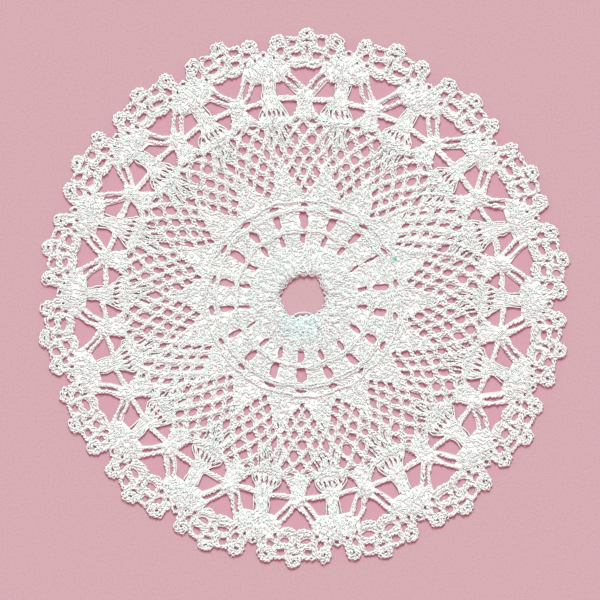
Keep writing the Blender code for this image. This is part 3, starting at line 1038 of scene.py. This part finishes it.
# Cotton: stops of its uneven colour, how bright each kind is, and what differs from white, among it the
# painted shade of the web where it lies low
COTTON_COLOURS = (
    (0.32, (0.80, 0.76, 0.755)),
    (0.48, (0.90, 0.90, 0.87)),
    (0.64, (0.88, 0.925, 0.885)),
)
# Lit and shaded copies of one cotton: the dense threads and the web are painted lighter, to lift the
# shade among the dense threads, and the cords darker, to hold down their highlights
CORD_BRIGHTNESS = 0.89
DENSE_BRIGHTNESS = 0.99
THREAD_BUMP = 0.2
WEB_BUMP = 0.7
PATCH_SCALE = 1500.0
FIBRE_SCALE = 5000.0
PAINTED_SHADE_COTTON = (0.71, 0.675, 0.67, 1.0)
COOL_STAIN = (0.74, 0.90, 0.89, 1.0)
GREEN_FLECK = (0.25, 0.72, 0.60, 1.0)
COOL_STAIN_PIXEL = (300.0, 322.0)
COOL_STAIN_RADIUS = 8.0
COOL_STAIN_STRENGTH = 0.5
GREEN_FLECK_PIXEL = (395.0, 259.0)
GREEN_FLECK_RADIUS = 0.95
SPOT_HEIGHT = 0.9
SPOT_CORE = 0.35


def feed(tree, socket, value):
    """Give an input of a shader node a value, or a link from another node's socket."""
    if isinstance(value, bpy.types.NodeSocket):
        tree.links.new(value, socket)
    else:
        socket.default_value = value


def set_inputs(tree, made, **inputs):
    """Feed inputs of a shader node by name."""
    for name, value in inputs.items():
        feed(tree, made.inputs[name.replace("_", " ")], value)


def node(tree, kind, **inputs):
    """A shader node with some of its inputs fed."""
    made = tree.nodes.new(kind)
    set_inputs(tree, made, **inputs)
    return made


def math_node(tree, operation, *values, kind="ShaderNodeMath"):
    """The result of a math node, from sockets or constants."""
    made = tree.nodes.new(kind)
    made.operation = operation
    for socket, value in zip(made.inputs, values):
        feed(tree, socket, value)
    return made.outputs["Value"]


def colour_ramp(tree, value, stops):
    """A colour ramp from a socket, with stops of position and colour."""
    made = node(tree, "ShaderNodeValToRGB", Fac=value)
    elements = made.color_ramp.elements
    while len(elements) < len(stops):
        elements.new(0.5)
    for element, (position, colour) in zip(elements, stops):
        element.position = position
        element.color = colour
    return made.outputs["Color"]


def map_range(tree, value, low, high, at_low=0.0, at_high=1.0, interpolation="LINEAR"):
    """A socket's value in mm: at_low where it is low, changing to at_high where it is high."""
    made = node(tree, "ShaderNodeMapRange", Value=value, From_Min=low * MM, From_Max=high * MM,
                To_Min=at_low, To_Max=at_high)
    made.interpolation_type = interpolation
    return made.outputs["Result"]


def spot(tree, pixel, radius):
    """1 at a pixel's place on the doily, fading to 0 at radius."""
    position = node(tree, "ShaderNodeTexCoord").outputs["Object"]
    place = (*pixel_place(pixel), SPOT_HEIGHT * MM)
    distance = math_node(tree, "DISTANCE", position, place, kind="ShaderNodeVectorMath")
    return map_range(tree, distance, SPOT_CORE * radius, radius, 1.0, 0.0, "SMOOTHSTEP")


def tint(tree, colour, target, amount):
    """Mix a colour towards another by a socket's amount."""
    mix = tree.nodes.new("ShaderNodeMix")
    mix.data_type = "RGBA"
    set_inputs(tree, mix, Factor=amount, A=colour, B=target)
    return mix.outputs["Result"]


def noise(tree, position, scale, detail):
    """Noise in space, from a position socket."""
    return node(tree, "ShaderNodeTexNoise", Vector=position, Scale=scale, Detail=detail).outputs["Fac"]


def new_material(name):
    """A material, its node tree and its shader."""
    material = bpy.data.materials.new(name)
    material.use_nodes = True
    return material, material.node_tree, material.node_tree.nodes["Principled BSDF"]


def shade(colour, factor):
    """A colour made darker or lighter, with full alpha."""
    return tuple(factor * part for part in colour) + (1.0,)


def cotton(name, brightness, bump_strength, threads):
    """Matt white cotton. threads adds the ply twist of spun thread; the web gets painted shade low
    down.
    """
    material, tree, shader = new_material(name)
    set_inputs(tree, shader, Roughness=0.85, Specular_IOR_Level=0.2, Sheen_Weight=0.05,
               Sheen_Roughness=0.5, Subsurface_Weight=0.6, Subsurface_Radius=(1.0, 1.0, 1.0),
               Subsurface_Scale=0.00014)
    position = node(tree, "ShaderNodeTexCoord").outputs["Object"]

    stops = [(stop, shade(white, brightness)) for stop, white in COTTON_COLOURS]
    colour = colour_ramp(tree, noise(tree, position, PATCH_SCALE, 3.0), stops)
    stain = spot(tree, COOL_STAIN_PIXEL, COOL_STAIN_RADIUS)
    colour = tint(tree, colour, COOL_STAIN, math_node(tree, "MULTIPLY", stain, COOL_STAIN_STRENGTH))
    colour = tint(tree, colour, GREEN_FLECK, spot(tree, GREEN_FLECK_PIXEL, GREEN_FLECK_RADIUS))

    relief = math_node(tree, "MULTIPLY", noise(tree, position, FIBRE_SCALE, 3.0), 0.8)
    if threads:
        ply = tree.nodes.new("ShaderNodeAttribute")
        ply.attribute_name = "ply"
        parts = node(tree, "ShaderNodeSeparateXYZ", Vector=ply.outputs["Vector"]).outputs
        around = math_node(tree, "ARCTAN2", parts["Y"], parts["X"])
        twice = math_node(tree, "MULTIPLY", around, 2.0)
        along = math_node(tree, "MULTIPLY", parts["Z"], 7.0)
        wave = math_node(tree, "SINE", math_node(tree, "ADD", twice, along))
        relief = math_node(tree, "ADD", relief, math_node(tree, "MULTIPLY", wave, 0.3))
    else:
        # Painted shade: the web is tinted towards a shaded colour where it lies low between the
        # threads, and a little even on its raised pads
        height = node(tree, "ShaderNodeSeparateXYZ", Vector=position).outputs["Z"]
        low = map_range(tree, height, WEB_TOP, 1.6 * WEB_TOP, 1.0, 0.22)
        colour = tint(tree, colour, PAINTED_SHADE_COTTON, low)
    bump = node(tree, "ShaderNodeBump", Height=relief, Strength=bump_strength, Distance=0.0001)
    set_inputs(tree, shader, Base_Color=colour, Normal=bump.outputs["Normal"])
    return material


# The table, mottled by a few percent, with painted rosy shade between two fades beneath the lace
FLOOR_COLOUR = (0.525, 0.323, 0.350)
FLOOR_HALF_SIZE = 0.6
FLOOR_MOTTLE_SCALE = 2000.0
FLOOR_MOTTLE = ((0.3, 0.92), (0.7, 1.07))
PAINTED_SHADE_FLOOR = (0.54, 0.287, 0.341, 1.0)
PAINTED_SHADE_INNER_FADE = (4.0, 12.0)
PAINTED_SHADE_OUTER_FADE = (75.5, 69.0)


def floor():
    """Plain pale table top, with painted rosy shade beneath the lace."""
    bpy.ops.mesh.primitive_plane_add(size=2 * FLOOR_HALF_SIZE, location=(0, 0, 0))
    plane = bpy.context.object
    plane.name = "floor"
    material, tree, shader = new_material("pale_table")
    set_inputs(tree, shader, Roughness=0.9, Specular_IOR_Level=0.1)
    position = node(tree, "ShaderNodeTexCoord").outputs["Object"]
    mottle = noise(tree, position, FLOOR_MOTTLE_SCALE, 5.0)
    stops = [(stop, shade(FLOOR_COLOUR, factor)) for stop, factor in FLOOR_MOTTLE]
    colour = colour_ramp(tree, mottle, stops)
    # Painted shade: beneath the lace the floor is tinted darker and rosier, standing in for the lace's
    # shade on it
    distance = math_node(tree, "LENGTH", position, kind="ShaderNodeVectorMath")
    inner = map_range(tree, distance, *PAINTED_SHADE_INNER_FADE)
    painted_shade = math_node(tree, "MULTIPLY", inner, map_range(tree, distance, *PAINTED_SHADE_OUTER_FADE))
    set_inputs(tree, shader, Base_Color=tint(tree, colour, PAINTED_SHADE_FLOOR, painted_shade))
    plane.data.materials.append(material)
    return plane


# Light and camera
SUN_STRENGTH = 4.1
SUN_COLOUR = (0.64, 1.0, 0.90)
SUN_ELEVATION_DEG = 45.0
SUN_ANGLE_DEG = 24.0
SKY_COLOUR = (1.0, 0.51, 0.66, 1.0)
SKY_STRENGTH = 0.73
CAMERA_HEIGHT = 0.6


def lights():
    """A soft light from beyond the doily's far edge, and an even sky."""
    light = bpy.data.lights.new("scan_light", "SUN")
    light.energy = SUN_STRENGTH
    light.color = SUN_COLOUR
    light.angle = math.radians(SUN_ANGLE_DEG)
    linked(light).rotation_euler = (math.radians(SUN_ELEVATION_DEG - 90), 0, 0)
    world = bpy.data.worlds.new("soft_sky")
    world.use_nodes = True
    sky = world.node_tree.nodes["Background"]
    set_inputs(world.node_tree, sky, Color=SKY_COLOUR, Strength=SKY_STRENGTH)
    bpy.context.scene.world = world


def overhead_camera():
    """Straight down, framed like the photo."""
    data = bpy.data.cameras.new("overhead")
    data.type = "ORTHO"
    data.ortho_scale = PHOTO_PIXELS * MM_PER_PIXEL * MM
    camera = linked(data)
    camera.location = (*pixel_place((PHOTO_PIXELS / 2, PHOTO_PIXELS / 2)), CAMERA_HEIGHT)
    bpy.context.scene.camera = camera


def main():
    """The whole scene: the lace, its table, light and camera."""
    thread_cotton = cotton("cotton_thread", CORD_BRIGHTNESS, THREAD_BUMP, threads=True)
    dense_cotton = cotton("cotton_dense_thread", DENSE_BRIGHTNESS, THREAD_BUMP, threads=True)
    web_cotton = cotton("cotton_web", DENSE_BRIGHTNESS, WEB_BUMP, threads=False)
    web, web_area = flat_web(web_cotton)
    pieces = [
        net_cords(1, "net_cords_right", thread_cotton),
        net_cords(-1, "net_cords_left", thread_cotton),
        fans(thread_cotton),
        spiders(thread_cotton),
        scallops("scallop_cords_right", (1,), thread_cotton),
        scallops("scallop_cords_left", (-1,), thread_cotton),
        ring_cords(dense_cotton),
        gathered_web(web_cotton),
        centre_threads(dense_cotton),
    ] + dense_threads(dense_cotton)
    table_top = floor()
    lights()
    overhead_camera()
    bpy.context.scene.view_settings.view_transform = "Standard"

    for piece in [web] + pieces:
        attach(piece, "root")
    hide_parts("lace_doily")


main()
